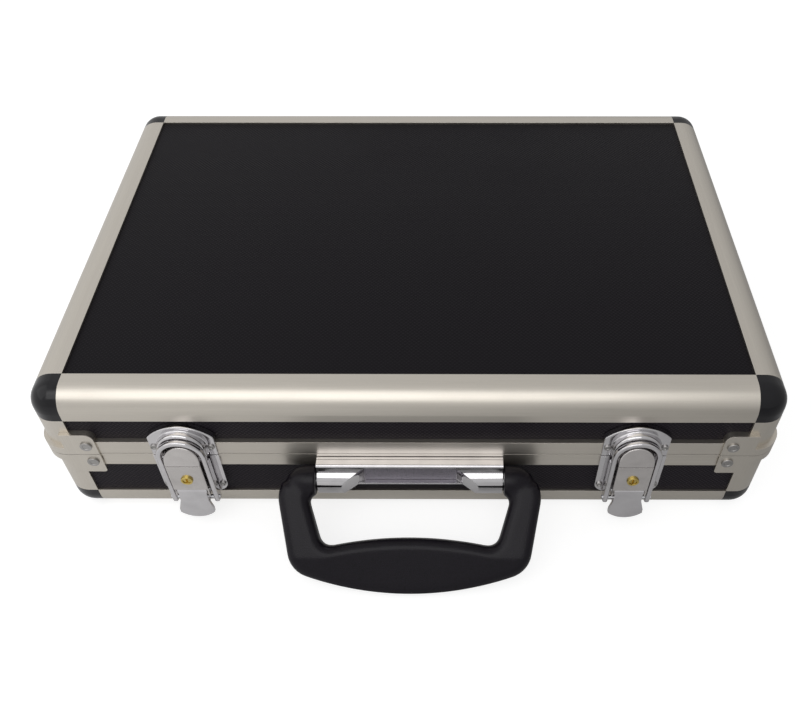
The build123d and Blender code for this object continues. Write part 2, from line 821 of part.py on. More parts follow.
    with BuildPart() as claw:
        with BuildSketch(front_plane(x, claw_out - claw_arch_depth)):
            add(arch(claw_half_width, claw_top, -claw_leg_top_drop))
            add(arch(claw_inner, claw_top - claw_band, -claw_leg_top_drop), mode=Mode.SUBTRACT)
        extrude(amount=claw_arch_depth)
        for leg_x in (x + claw_half_width, x - claw_inner):
            with BuildSketch(profile_plane(leg_x)) as leg_outline:
                with Locations((claw_out, -claw_leg_top_drop)):
                    leg_size = (claw_leg_depth, claw_pin_drop + claw_leg_end - claw_leg_top_drop)
                    Rectangle(*leg_size, align=(Align.MAX, Align.MAX))
                fillet(leg_outline.vertices().group_by(Axis.Y)[0], claw_leg_round)
            extrude(amount=claw_band)
        with BuildSketch(profile_plane(x + claw_half_width)):
            with Locations(claw_point):
                Circle(latch_pin_radius + running_clearance)
        extrude(amount=2 * claw_half_width, mode=Mode.SUBTRACT)
        front_face = claw.faces().filter_by(Axis.Y).sort_by(Axis.Y)[0]
        front_edges = [e for e in front_face.edges() if e.center().Z > parting_height - claw_pin_drop]
        fillet(front_edges, claw_round)
    finish(claw.part, f"claw_{name}")

# Handle bracket, with an arched recess for the fingers
recess_top = -bracket_top_drop - recess_ceiling
recess_bottom = -bracket_bottom_drop - recess_ceiling
with BuildPart() as bracket:
    with BuildSketch(profile_plane(bracket_width / 2)) as bracket_profile:
        with BuildLine():
            TangentArc(
                (bracket_out, -bracket_bulge_drop),
                (bracket_shelf_out, -bracket_shoulder_drop),
                tangent=(0, 1),
            )
            Polyline(
                (bracket_shelf_out, -bracket_shoulder_drop),
                (bracket_shelf_out, -bracket_top_drop),
                (rail_proud, -bracket_top_drop),
                (rail_proud, -rail_height),
                (-skin, -rail_height),
                (-skin, -bracket_bottom_drop),
                (bracket_out - bracket_foot_inset, -bracket_bottom_drop),
            )
            TangentArc(
                (bracket_out, -bracket_bulge_drop),
                (bracket_out - bracket_foot_inset, -bracket_bottom_drop),
                tangent=(0, -1),
            )
        make_face()
        top_front = bracket_profile.vertices().group_by(Axis.Y)[-1].sort_by(Axis.X)[-1]
        fillet(top_front, bracket_top_round)
        foot_front = bracket_profile.vertices().group_by(Axis.Y)[0].sort_by(Axis.X)[-1]
        fillet(foot_front, bracket_foot_round)
    extrude(amount=bracket_width)
    with BuildSketch(front_plane(0, recess_back)):
        Polygon(
            (recess_back_half_width, recess_bottom),
            (recess_back_half_width, recess_top),
            (-recess_back_half_width, recess_top),
            (-recess_back_half_width, recess_bottom),
        )
    with BuildSketch(front_plane(0, bracket_out)):
        with BuildLine():
            Line((-recess_front_half_width, recess_bottom), (recess_front_half_width, recess_bottom))
            TangentArc(
                (recess_top_half_width, recess_top),
                (recess_front_half_width, recess_bottom),
                tangent=(1, 0),
            )
            Line((recess_top_half_width, recess_top), (-recess_top_half_width, recess_top))
            TangentArc(
                (-recess_top_half_width, recess_top),
                (-recess_front_half_width, recess_bottom),
                tangent=(-1, 0),
            )
        make_face()
    loft(ruled=True, mode=Mode.SUBTRACT)
    ledge_share = (recess_ledge_out - recess_back) / (bracket_out - recess_back)
    ledge_spread = ledge_share * (recess_front_half_width - recess_back_half_width)
    ledge_half_width = recess_back_half_width + ledge_spread
    with BuildSketch(Plane.XY.offset(parting_height - bracket_bottom_drop)):
        Polygon(
            (-recess_back_half_width, front_y - recess_back),
            (-ledge_half_width, front_y - recess_ledge_out),
            (ledge_half_width, front_y - recess_ledge_out),
            (recess_back_half_width, front_y - recess_back),
            align=None,
        )
    extrude(amount=recess_ledge_height)
    for start in (-bracket_width / 2, bracket_width / 2 - handle_pin_in_bracket):
        with BuildSketch(profile_plane(start + handle_pin_in_bracket)):
            with Locations((handle_pivot_out, -handle_pivot_drop)):
                Circle(handle_pin_radius + fixed_clearance)
        extrude(amount=handle_pin_in_bracket, mode=Mode.SUBTRACT)
finish(bracket.part, "handle_bracket")

# Handle: a grip and two arms in one plane, with a round boss on each pin
pivot_point = Vector(0, front_y - handle_pivot_out, pivot_height)
handle_plane = Plane(origin=pivot_point, x_dir=(1, 0, 0), z_dir=(0, -sin(handle_tilt), cos(handle_tilt)))
shoulder_reach = handle_top_round - handle_boss_radius
shoulder_start = handle_half_width - handle_top_round
shoulder_x = shoulder_start + sqrt(handle_top_round**2 - shoulder_reach**2)
side_run = Vector(handle_corner_half_width - shoulder_start, shoulder_reach - handle_corner_reach)
touch_angle = atan2(side_run.Y, side_run.X) + acos(handle_top_round / side_run.length)
touch_x = shoulder_start + handle_top_round * cos(touch_angle)
touch_y = handle_top_round * sin(touch_angle) - shoulder_reach


def at_point(outline, x, reach):
    """The outline's two corners at this distance from the middle and this reach from the pins."""
    return [v for v in outline.vertices() if hypot(abs(v.X) - x, v.Y + reach) < same_place]


def domed_boss(direction, start_angle):
    """The round boss at the end of one arm, domed towards its direction along X."""
    dome_start = direction * shoulder_start
    with BuildPart() as one:
        with BuildSketch(handle_plane):
            with BuildLine():
                EllipticalCenterArc(
                    (dome_start, 0),
                    handle_dome_length,
                    handle_boss_radius,
                    start_angle=start_angle,
                )
                Polyline(
                    (dome_start, handle_boss_radius),
                    (direction * arm_inner, handle_boss_radius),
                    (direction * arm_inner, 0),
                    (dome_start + direction * handle_dome_length, 0),
                )
            make_face()
        revolve(axis=Axis(pivot_point, (1, 0, 0)))
    return one.part


with BuildPart() as handle:
    with BuildSketch(handle_plane.offset(-handle_half_thickness)) as handle_outline:
        with BuildLine():
            TangentArc(
                (0, -handle_reach),
                (handle_corner_half_width, -handle_corner_reach),
                tangent=(1, 0),
            )
            Line((handle_corner_half_width, -handle_corner_reach), (touch_x, touch_y))
            TangentArc((touch_x, touch_y), (shoulder_x, 0), tangent=(-sin(touch_angle), cos(touch_angle)))
            Polyline(
                (shoulder_x, 0),
                (handle_arm_half_width, 0),
                (handle_arm_half_width, -handle_arm_straight),
                (window_low_half_width, -window_low_reach),
            )
            TangentArc((0, -window_reach), (window_low_half_width, -window_low_reach), tangent=(1, 0))
            mirror(about=Plane.YZ)
        make_face()
        fillet(at_point(handle_outline, handle_corner_half_width, handle_corner_reach), handle_corner_round)
        fillet(at_point(handle_outline, window_low_half_width, window_low_reach), window_corner_round)
        fillet(at_point(handle_outline, handle_arm_half_width, handle_arm_straight), handle_top_round)
        fillet(at_point(handle_outline, shoulder_x, 0), handle_arm_round)
        fillet(at_point(handle_outline, handle_arm_half_width, 0), handle_arm_round)
    extrude(amount=2 * handle_half_thickness)
    broad_faces = handle.faces().filter_by(Axis(pivot_point, handle_plane.z_dir))
    fillet(broad_faces.edges(), handle_edge_round)
    add(domed_boss(1, 0))
    add(domed_boss(-1, 90))
    for start in (arm_inner, -arm_inner - handle_pin_in_arm):
        with BuildSketch(profile_plane(start + handle_pin_in_arm)):
            with Locations((handle_pivot_out, -handle_pivot_drop)):
                Circle(handle_pin_radius + running_clearance)
        extrude(amount=handle_pin_in_arm, mode=Mode.SUBTRACT)
finish(handle.part, "handle")

handle_pin_length = handle_pin_in_bracket + handle_side_gap + handle_pin_in_arm - pin_end_gap
handle_pin_start = bracket_width / 2 - handle_pin_in_bracket
with BuildPart() as handle_pins:
    for end in (handle_pin_start + handle_pin_length, -handle_pin_start):
        with BuildSketch(profile_plane(end)):
            with Locations((handle_pivot_out, -handle_pivot_drop)):
                Circle(handle_pin_radius)
        extrude(amount=handle_pin_length)
finish(handle_pins.part, "handle_pins")
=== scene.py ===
import math

import bpy
from mathutils import Matrix, Vector


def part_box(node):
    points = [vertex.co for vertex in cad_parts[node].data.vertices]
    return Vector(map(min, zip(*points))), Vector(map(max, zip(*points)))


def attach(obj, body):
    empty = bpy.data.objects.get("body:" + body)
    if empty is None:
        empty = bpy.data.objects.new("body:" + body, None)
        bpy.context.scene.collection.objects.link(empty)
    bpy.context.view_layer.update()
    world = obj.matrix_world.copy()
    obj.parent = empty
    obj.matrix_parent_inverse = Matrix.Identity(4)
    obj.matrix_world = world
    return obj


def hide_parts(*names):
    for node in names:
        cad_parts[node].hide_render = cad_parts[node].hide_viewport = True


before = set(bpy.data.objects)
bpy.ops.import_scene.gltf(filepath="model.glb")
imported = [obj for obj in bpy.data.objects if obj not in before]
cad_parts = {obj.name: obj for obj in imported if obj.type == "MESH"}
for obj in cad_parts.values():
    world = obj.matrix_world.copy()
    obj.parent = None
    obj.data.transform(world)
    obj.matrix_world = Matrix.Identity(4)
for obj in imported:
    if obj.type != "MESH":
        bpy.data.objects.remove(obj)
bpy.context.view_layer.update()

# %% [markdown]
# A small aluminium-framed flight case lies closed on its base, with its handle
# folded down in front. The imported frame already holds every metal, panel and
# handle piece at its real place and size. This lesson dresses those pieces, makes
# the soft and fine pieces that a solid model leaves plain, and lights the whole.

# %% Helpers for places and colours
mm = 0.001
halves = ("base", "lid")
sides = ("front", "rear", "left", "right")
hands = ("left", "right")


def screen_colour(red, green, blue):
    """A colour given as it looks on screen, 0 to 255, as the linear numbers that a shader takes."""
    parts = [value / 255 for value in (red, green, blue)]
    linear = [p / 12.92 if p <= 0.04045 else ((p + 0.055) / 1.055) ** 2.4 for p in parts]
    return (*linear, 1.0)


front_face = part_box("base_front_edge")[0].y
case_middle = (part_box("lid_top_panel")[0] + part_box("lid_top_panel")[1]) / 2
print("the case's front is at y", round(front_face / mm, 1), "mm")

# %% [markdown]
# The camera stands where the photographer's did: in front of the case, a little to its
# right, and looking down at about 48 degrees. Its lens is given as the distance in
# pixels from the eye to the picture, and the picture was cut from a larger one, so the
# point that the lens looks straight at isn't the middle of it. The shift sets that.

# %% Camera
photo_width = 811
photo_height = 720
lens_pixels = 857.05
lens_axis_across = 441.67
lens_axis_down = 372.63
camera_offset = Vector((16.26, -358.75, 0)) * mm
camera_height = 367.38 * mm
camera_place = case_middle + camera_offset
camera_place.z = camera_height
camera_right = Vector((0.99999, 0.00382, -0.00146))
camera_forward = Vector((-0.00365, 0.67159, -0.74091))
camera_up = camera_right.cross(camera_forward)

camera_data = bpy.data.cameras.new("photo_camera")
camera_data.sensor_width = 36.0
camera_data.lens = lens_pixels * camera_data.sensor_width / photo_width
camera_data.shift_x = (photo_width / 2 - lens_axis_across) / photo_width
camera_data.shift_y = (lens_axis_down - photo_height / 2) / photo_width
camera = bpy.data.objects.new("photo_camera", camera_data)
camera.matrix_world = Matrix.Translation(camera_place) @ Matrix(
    (camera_right, camera_up, -camera_forward)
).transposed().to_4x4()
bpy.context.scene.collection.objects.link(camera)
bpy.context.scene.camera = camera
print("lens", round(camera_data.lens, 2), "mm")

# %% [markdown]
# A node tree is easier to read when each node is one line. One helper adds a node with
# its settings, and gives each input either a plain value or the output that feeds it.
# Another does sums. The effects that several finishes share, such as fine lines, smudges
# and grain, are node groups with named inputs, so each finish sets its own values.


# %% Helpers for node trees
def feed(tree, node, inputs):
    """Give a node's inputs plain values, or the outputs of other nodes."""
    for socket, value in inputs.items():
        if isinstance(value, bpy.types.NodeSocket):
            tree.links.new(value, node.inputs[socket])
        else:
            node.inputs[socket].default_value = value


def add_node(tree, kind, inputs=None, **settings):
    """Add a node with its settings and inputs."""
    node = tree.nodes.new(kind)
    for name, value in settings.items():
        setattr(node, name, value)
    feed(tree, node, inputs or {})
    return node


def calculate(tree, operation, *values):
    """The output of a Math node."""
    return add_node(tree, "ShaderNodeMath", dict(enumerate(values)), operation=operation).outputs[0]


def map_range(tree, value, low, high, to_low, to_high):
    """A value taken from one range to another, and held inside it."""
    inputs = {"Value": value, "From Min": low, "From Max": high, "To Min": to_low, "To Max": to_high}
    return add_node(tree, "ShaderNodeMapRange", inputs).outputs["Result"]


def start_group(name, inputs, outputs):
    """A node group with named sockets: (name, kind, value) in and (name, kind) out."""
    group = bpy.data.node_groups.new(name, "ShaderNodeTree")
    for socket, kind, value in inputs:
        made = group.interface.new_socket(name=socket, in_out="INPUT", socket_type="NodeSocket" + kind)
        if value is not None:
            made.default_value = value
    for socket, kind in outputs:
        group.interface.new_socket(name=socket, in_out="OUTPUT", socket_type="NodeSocket" + kind)
    return group, group.nodes.new("NodeGroupInput").outputs


def use_group(tree, group, inputs):
    """Place a node group in a tree and give its outputs."""
    placed = add_node(tree, "ShaderNodeGroup", node_tree=group)
    feed(tree, placed, inputs)
    return placed.outputs


# %% Effect: drawn lines
def make_drawn_lines():
    """Fine lines that a die or a brush leaves along a metal piece."""
    group, given = start_group(
        "Drawn lines",
        [("Vector", "Vector", None), ("Lines per metre", "Float", 1500.0)],
        [("Lines", "Float")],
    )
    noise = add_node(
        group, "ShaderNodeTexNoise",
        {"Vector": given["Vector"], "Scale": given["Lines per metre"], "Detail": 3.0, "Roughness": 0.6},
    )
    add_node(group, "NodeGroupOutput", {"Lines": noise.outputs["Fac"]})
    return group


drawn_lines = make_drawn_lines()


# %% Effect: smudges
def make_smudges():
    """Soft patches where a surface has been handled, wiped or has gathered a little dust."""
    group, given = start_group(
        "Smudges",
        [("Vector", "Vector", None), ("Patches per metre", "Float", 30.0), ("Coverage", "Float", 0.5)],
        [("Mask", "Float")],
    )
    noise = add_node(
        group, "ShaderNodeTexNoise",
        {"Vector": given["Vector"], "Scale": given["Patches per metre"], "Detail": 5.0, "Distortion": 0.4},
    )
    threshold = calculate(group, "SUBTRACT", 1.0, given["Coverage"])
    mask = map_range(group, noise.outputs["Fac"], threshold, 1.0, 0.0, 1.0)
    add_node(group, "NodeGroupOutput", {"Mask": mask})
    return group


smudges = make_smudges()


# %% Effect: diamond emboss
def make_diamond_emboss():
    """Small raised diamonds in rows, as a roller presses them into laminate."""
    group, given = start_group(
        "Diamond emboss",
        [("Vector", "Vector", None), ("Diamonds per metre", "Float", 690.0)],
        [("Height", "Float"), ("Groove shade", "Float")],
    )
    blend_distance = 0.2
    groove_floor = 0.05
    groove_edge = 0.35
    split = add_node(group, "ShaderNodeSeparateXYZ", {0: given["Vector"]})
    across, along = split.outputs["X"], split.outputs["Y"]
    waves = []
    for operation in ("ADD", "SUBTRACT"):
        diagonal = calculate(group, operation, across, along)
        run = calculate(group, "MULTIPLY", diagonal, given["Diamonds per metre"])
        waves.append(calculate(group, "MULTIPLY", calculate(group, "PINGPONG", run, 0.5), 2.0))
    height = calculate(group, "SMOOTH_MIN", *waves, blend_distance)
    # The groove mask is 1 in the grooves between the diamonds, where the laminate is darkened as painted
    # shade.
    groove_shade = map_range(group, height, groove_floor, groove_edge, 1.0, 0.0)
    add_node(group, "NodeGroupOutput", {"Height": height, "Groove shade": groove_shade})
    return group


diamond_emboss = make_diamond_emboss()


# %% Effect: moulded grain
def make_moulded_grain():
    """The pebbled, leather-like grain of a moulded handle."""
    group, given = start_group(
        "Moulded grain",
        [("Vector", "Vector", None), ("Pebbles per metre", "Float", 900.0)],
        [("Height", "Float"), ("Crease shade", "Float")],
    )
    dome_reach = 0.35
    crease_reach = 0.12
    fine_per_pebble = 2.5
    fine_height = 0.35
    pebbles = add_node(
        group, "ShaderNodeTexVoronoi",
        {"Vector": given["Vector"], "Scale": given["Pebbles per metre"], "Randomness": 0.9},
        feature="DISTANCE_TO_EDGE",
    )
    fine_scale = calculate(group, "MULTIPLY", given["Pebbles per metre"], fine_per_pebble)
    fine = add_node(group, "ShaderNodeTexNoise", {"Vector": given["Vector"], "Scale": fine_scale})
    dome = map_range(group, pebbles.outputs["Distance"], 0.0, dome_reach, 0.0, 1.0)
    height = calculate(group, "MULTIPLY_ADD", fine.outputs["Fac"], fine_height, dome)
    # The crease mask is 1 between the pebbles; the finishes darken their colour there as painted shade.
    crease = map_range(group, pebbles.outputs["Distance"], 0.0, crease_reach, 1.0, 0.0)
    add_node(group, "NodeGroupOutput", {"Height": height, "Crease shade": crease})
    return group


moulded_grain = make_moulded_grain()


# %% Effect: broken edges
def make_broken_edges():
    """No made piece has a perfectly sharp edge: this rounds the light over it."""
    group, given = start_group(
        "Broken edges",
        [("Edge radius", "Float", 0.3 * mm)],
        [("Normal", "Vector")],
    )
    bevel = add_node(group, "ShaderNodeBevel", {"Radius": given["Edge radius"]}, samples=4)
    add_node(group, "NodeGroupOutput", {"Normal": bevel.outputs["Normal"]})
    return group


broken_edges = make_broken_edges()
print("effects:", ", ".join(group.name for group in bpy.data.node_groups))


# %% [markdown]
# Every finish starts alike: a new material, its node tree, its shader, and the piece's own coordinates,
# which move with the piece. A pattern that runs one way takes those coordinates turned or stretched.


# %% Helpers for finishes
def start_finish(name):
    """A material, its node tree, its shader and the coordinates of the piece that wears it."""
    material = bpy.data.materials.new(name)
    material.use_nodes = True
    tree = material.node_tree
    place = add_node(tree, "ShaderNodeTexCoord").outputs["Object"]
    return material, tree, tree.nodes["Principled BSDF"], place


def turn_pattern(tree, place, turn=(0, 0, 0), stretch=(1, 1, 1)):
    """A piece's coordinates, turned and stretched for a pattern."""
    inputs = {"Vector": place, "Rotation": turn, "Scale": stretch}
    return add_node(tree, "ShaderNodeMapping", inputs).outputs["Vector"]


def set_roughness(tree, shader, mask, clean, change):
    """Give a shader its clean roughness, changed by a given amount where a mask is 1."""
    tree.links.new(calculate(tree, "MULTIPLY_ADD", mask, change, clean), shader.inputs["Roughness"])


def blend_colours(tree, amount, first, second):
    """One colour over another, by an amount from 0 to 1."""
    node = add_node(tree, "ShaderNodeMix", data_type="RGBA")
    for socket, value in (("Factor_Float", amount), ("A_Color", first), ("B_Color", second)):
        target = next(item for item in node.inputs if item.identifier == socket)
        if isinstance(value, bpy.types.NodeSocket):
            tree.links.new(value, target)
        else:
            target.default_value = value
    return next(item for item in node.outputs if item.identifier == "Result_Color")


def dress(material, *names):
    """Give CAD nodes a finish."""
    for name in names:
        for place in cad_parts[name].material_slots:
            place.material = material
    print(material.name, "on", ", ".join(names))


# %% [markdown]
# The edge extrusions, corner posts and closing rails are aluminium that was
# drawn through a die, satin-etched and anodised. The die leaves very fine
# lines along each length, so the pattern is stretched along X, Y or Z to suit.

# %% Finish: satin aluminium
aluminium_light = screen_colour(216, 210, 200)
aluminium_dark = screen_colour(190, 184, 175)
line_stretch = 0.012


def make_satin_aluminium(name, stretch):
    """Satin metal with die lines that run along the piece."""
    material, tree, shader, place = start_finish(name)
    along = turn_pattern(tree, place, stretch=stretch)
    lines = use_group(tree, drawn_lines, {"Vector": along, "Lines per metre": 2400.0})["Lines"]
    smudge = use_group(tree, smudges, {"Vector": place, "Patches per metre": 24.0, "Coverage": 0.55})["Mask"]
    rounded = use_group(tree, broken_edges, {"Edge radius": 0.25 * mm})
    speckle = add_node(tree, "ShaderNodeTexNoise", {"Vector": place, "Scale": 4200.0, "Detail": 2.0})
    half_lines = calculate(tree, "MULTIPLY", lines, 0.5)
    tone = calculate(tree, "MULTIPLY_ADD", speckle.outputs["Fac"], 0.5, half_lines)
    shader.inputs["Metallic"].default_value = 1.0
    tree.links.new(blend_colours(tree, tone, aluminium_dark, aluminium_light), shader.inputs["Base Color"])
    set_roughness(tree, shader, smudge, clean=0.34, change=0.10)
    bump = add_node(
        tree, "ShaderNodeBump",
        {"Height": tone, "Strength": 0.18, "Distance": 0.02 * mm, "Normal": rounded["Normal"]},
    )
    tree.links.new(bump.outputs["Normal"], shader.inputs["Normal"])
    return material


aluminium_along = {
    "x": make_satin_aluminium("satin_aluminium_along_x", (line_stretch, 1, 1)),
    "y": make_satin_aluminium("satin_aluminium_along_y", (1, line_stretch, 1)),
    "z": make_satin_aluminium("satin_aluminium_along_z", (1, 1, line_stretch)),
}
for half in halves:
    for side in sides:
        direction = "x" if side in ("front", "rear") else "y"
        dress(aluminium_along[direction], f"{half}_{side}_edge", f"{half}_{side}_rail")
    dress(aluminium_along["z"], f"{half}_corner_posts", f"{half}_rail_corners")

# %% [markdown]
# The panels are plywood faced with black laminate, rolled with small diamonds
# about a millimetre and a half apart. A diamond is flat on its panel, so the
# pattern is turned from the top to the front or to the side to suit. The copies
# for the front and the sides have a lighter black, as painted light from the room
# in front, and the grooves between the diamonds are darkened, as painted shade.

# %% Finish: embossed laminate
# The front and side blacks are lighter than the flat one: painted light from the bright room in front.
laminate_blacks_painted_by_facing = {
    "flat": screen_colour(21, 18, 23),
    "front": screen_colour(33, 28, 35),
    "side": screen_colour(33, 28, 35),
}
# The groove black is painted shade in the grooves between the diamonds.
laminate_groove_shade = screen_colour(9, 8, 10)
laminate_shine = 0.10
panel_turns = {
    "flat": (0, 0, 0),
    "front": (math.radians(90), 0, 0),
    "side": (0, math.radians(90), 0),
}


def make_embossed_laminate(way):
    """Black laminate whose diamonds lie flat on a panel that faces one way."""
    material, tree, shader, place = start_finish(f"embossed_laminate_{way}")
    flat = turn_pattern(tree, place, turn=panel_turns[way])
    pattern = use_group(tree, diamond_emboss, {"Vector": flat, "Diamonds per metre": 480.0})
    smudge = use_group(tree, smudges, {"Vector": place, "Patches per metre": 9.0, "Coverage": 0.5})["Mask"]
    # Painted shade in the grooves, over a black that is painted lighter on front and side panels.
    black = blend_colours(tree, pattern["Groove shade"], laminate_blacks_painted_by_facing[way], laminate_groove_shade)
    tree.links.new(black, shader.inputs["Base Color"])
    set_roughness(tree, shader, smudge, clean=0.42, change=0.14)
    shader.inputs["Specular IOR Level"].default_value = laminate_shine
    bump = add_node(
        tree, "ShaderNodeBump", {"Height": pattern["Height"], "Strength": 0.8, "Distance": 0.16 * mm}
    )
    tree.links.new(bump.outputs["Normal"], shader.inputs["Normal"])
    return material


laminate = {way: make_embossed_laminate(way) for way in panel_turns}
dress(laminate["flat"], "base_bottom_panel", "lid_top_panel")
for half in halves:
    for side in sides:
        dress(laminate["front" if side in ("front", "rear") else "side"], f"{half}_{side}_panel")

# %% [markdown]
# The ball corners are moulded in glossy black plastic. A
# glossy piece shows its wear as fine scuffs in the gloss.

# %% Finish: glossy corner plastic
def make_corner_plastic():
    """Glossy black plastic with fine scuffs."""
    material, tree, shader, place = start_finish("glossy_corner_plastic")
    scuffs = use_group(tree, smudges, {"Vector": place, "Patches per metre": 160.0, "Coverage": 0.5})["Mask"]
    orange_peel = add_node(tree, "ShaderNodeTexNoise", {"Vector": place, "Scale": 420.0, "Detail": 1.0})
    tree.links.new(
        blend_colours(tree, scuffs, screen_colour(9, 8, 13), screen_colour(20, 19, 24)),
        shader.inputs["Base Color"],
    )
    set_roughness(tree, shader, scuffs, clean=0.14, change=0.16)
    shader.inputs["Specular IOR Level"].default_value = 0.35
    bump = add_node(
        tree, "ShaderNodeBump",
        {"Height": orange_peel.outputs["Fac"], "Strength": 0.12, "Distance": 0.1 * mm},
    )
    tree.links.new(bump.outputs["Normal"], shader.inputs["Normal"])
    return material


corner_plastic = make_corner_plastic()
dress(corner_plastic, *(f"{half}_ball_corners" for half in halves))

# %% [markdown]
# The latches and the handle's bracket are pressed or cast, then plated bright.
# Rivets and pins are duller metal. One function makes them all, because they
# differ only in colour, roughness and the rounding of their edges.


# %% Finish: bright and dull metals
def make_plain_metal(name, light, dark, roughness, dulling, edge_radius):
    """A metal that is light and clean, with soft clouds where it is darker and duller."""
    material, tree, shader, place = start_finish(name)
    cloud = use_group(tree, smudges, {"Vector": place, "Patches per metre": 110.0, "Coverage": 0.6})["Mask"]
    rounded = use_group(tree, broken_edges, {"Edge radius": edge_radius})
    fine = add_node(tree, "ShaderNodeTexNoise", {"Vector": place, "Scale": 700.0, "Detail": 3.0})
    shader.inputs["Metallic"].default_value = 1.0
    tree.links.new(blend_colours(tree, cloud, light, dark), shader.inputs["Base Color"])
    set_roughness(tree, shader, cloud, clean=roughness, change=dulling)
    bump = add_node(
        tree, "ShaderNodeBump",
        {
            "Height": fine.outputs["Fac"], "Strength": 0.08, "Distance": 0.05 * mm,
            "Normal": rounded["Normal"],
        },
    )
    tree.links.new(bump.outputs["Normal"], shader.inputs["Normal"])
    return material


chrome = make_plain_metal(
    "bright_chrome", light=screen_colour(212, 210, 212), dark=screen_colour(190, 188, 190),
    roughness=0.06, dulling=0.10, edge_radius=0.3 * mm,
)
satin_cover = make_plain_metal(
    "satin_lock_cover", light=screen_colour(206, 202, 200), dark=screen_colour(184, 180, 178),
    roughness=0.20, dulling=0.12, edge_radius=0.3 * mm,
)
rivet_metal = make_plain_metal(
    "rivet_aluminium", light=screen_colour(172, 170, 168), dark=screen_colour(136, 135, 133),
    roughness=0.28, dulling=0.16, edge_radius=0.2 * mm,
)
pin_steel = make_plain_metal(
    "plated_steel", light=screen_colour(190, 190, 192), dark=screen_colour(174, 174, 176),
    roughness=0.24, dulling=0.12, edge_radius=0.2 * mm,
)
turned_brass = make_plain_metal(
    "turned_brass", light=screen_colour(220, 198, 118), dark=screen_colour(150, 124, 62),
    roughness=0.18, dulling=0.2, edge_radius=0.2 * mm,
)
dress(chrome, "handle_bracket")
dress(pin_steel, "hinge_pins", "hinge_base_leaves", "hinge_lid_leaves", "handle_pins")
for half in halves:
    dress(rivet_metal, f"{half}_rivets", f"{half}_small_rivets")
for hand in hands:
    dress(chrome, f"keeper_{hand}", f"latch_plate_{hand}", f"claw_{hand}", f"lever_{hand}")
    dress(satin_cover, f"lock_cover_{hand}")
    dress(pin_steel, f"lever_pin_{hand}", f"claw_pin_{hand}")
    dress(turned_brass, f"key_cylinder_{hand}")

# %% [markdown]
# The handle is black plastic, moulded with a fine leather-like
# grain that catches the light on its rounded edges. The creases
# between its pebbles are darkened, as painted shade.


# %% Finish: grained handle plastic
def make_handle_plastic():
    """Black plastic with a pebbled grain, shinier where hands have worn it."""
    material, tree, shader, place = start_finish("grained_handle_plastic")
    grain = use_group(tree, moulded_grain, {"Vector": place, "Pebbles per metre": 1100.0})
    worn = use_group(tree, smudges, {"Vector": place, "Patches per metre": 40.0, "Coverage": 0.5})["Mask"]
    # Painted shade: the creases between the pebbles are a darker black.
    tree.links.new(
        blend_colours(tree, grain["Crease shade"], screen_colour(18, 14, 22), screen_colour(7, 6, 9)),
        shader.inputs["Base Color"],
    )
    set_roughness(tree, shader, worn, clean=0.32, change=-0.08)
    shader.inputs["Specular IOR Level"].default_value = 0.21
    bump = add_node(
        tree, "ShaderNodeBump", {"Height": grain["Height"], "Strength": 0.35, "Distance": 0.08 * mm}
    )
    tree.links.new(bump.outputs["Normal"], shader.inputs["Normal"])
    return material


handle_plastic = make_handle_plastic()

# %% [markdown]
# An operator acts on all that is selected, so these helpers select one thing at a time. They also put a
# finished piece's place into its mesh and apply its modifiers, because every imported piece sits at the
# origin in that way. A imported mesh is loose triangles, so a copy of it is merged before it is shaped.


# %% Helpers for modelling by hand
def only(obj):
    """Deselect everything, then select and activate one object."""
    for other in bpy.context.selected_objects:
        other.select_set(False)
    obj.select_set(True)
    bpy.context.view_layer.objects.active = obj


def settle(obj):
    """Put an object's place, turn and size into its mesh, and apply its modifiers."""
    only(obj)
    bpy.ops.object.transform_apply(location=True, rotation=True, scale=True)
    for modifier in list(obj.modifiers):
        bpy.ops.object.modifier_apply(modifier=modifier.name)


def pick_faces(obj, wanted):
    """In edit mode, select just the faces whose centre and normal pass a test."""
    bpy.ops.object.mode_set(mode="OBJECT")
    for part in (*obj.data.vertices, *obj.data.edges, *obj.data.polygons):
        part.select = False
    for face in obj.data.polygons:
        face.select = wanted(face.center, face.normal)
    bpy.ops.object.mode_set(mode="EDIT")


merge_distance = 0.005 * mm


def copy_node(node, name):
    """A copy of a CAD node as a new piece, with its loose triangles merged."""
    piece = bpy.data.objects.new(name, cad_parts[node].data.copy())
    bpy.context.scene.collection.objects.link(piece)
    only(piece)
    bpy.ops.object.mode_set(mode="EDIT")
    bpy.ops.mesh.select_all(action="SELECT")
    bpy.ops.mesh.remove_doubles(threshold=merge_distance)
    bpy.ops.object.mode_set(mode="OBJECT")
    return piece


# %% [markdown]
# A moulded or pressed piece has no sharp joins: its forms flow into each other. The
# solid model joins them by plain addition. Here a copy of such a piece is merged,
# covered with one even skin of small faces, and smoothed where a test on a point's place
# says so. Bores and flat plates are kept out of the smoothing, because they stay true.


